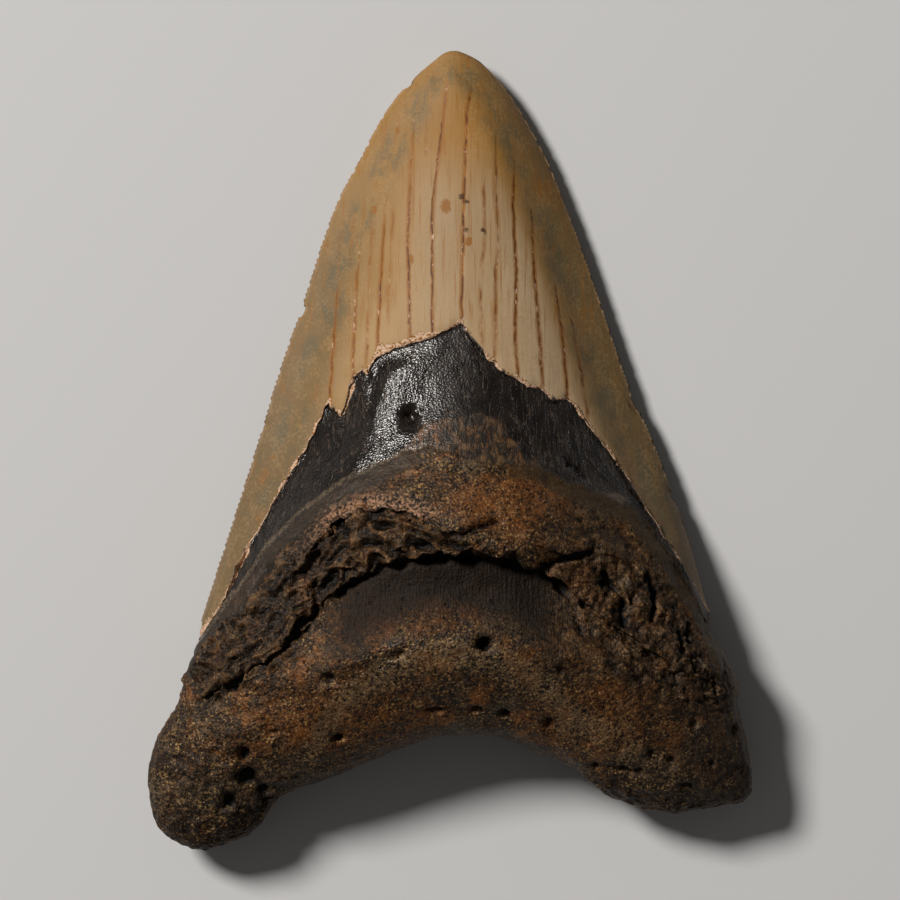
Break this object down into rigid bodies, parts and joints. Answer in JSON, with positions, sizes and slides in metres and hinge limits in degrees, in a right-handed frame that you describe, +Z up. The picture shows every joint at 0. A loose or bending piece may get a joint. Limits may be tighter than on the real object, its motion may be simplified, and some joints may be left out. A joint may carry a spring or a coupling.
{
  "type": "megalodon tooth",
  "caption": "Fossil megalodon tooth with serrated cutting edges, dark bourlette band and a two-lobed cracked root, lying on its flatter outer face.",
  "frame": {"origin": "middle of the tooth's outline, on the surface that it lies on", "axes": "+Y from the root to the tip, +Z up out of the lingual (inner) face, +X to the right when looking down on that face with the tip away"},
  "size_m": [0.0866, 0.1148, 0.0244],
  "materials": {
    "fossil_tooth": "satin tan enamel with fine growth cracks, glossy black bourlette, grainy brown root"
  },
  "bodies": {
    "root": {"tooth": "fossil_tooth"}
  },
  "joints": []
}
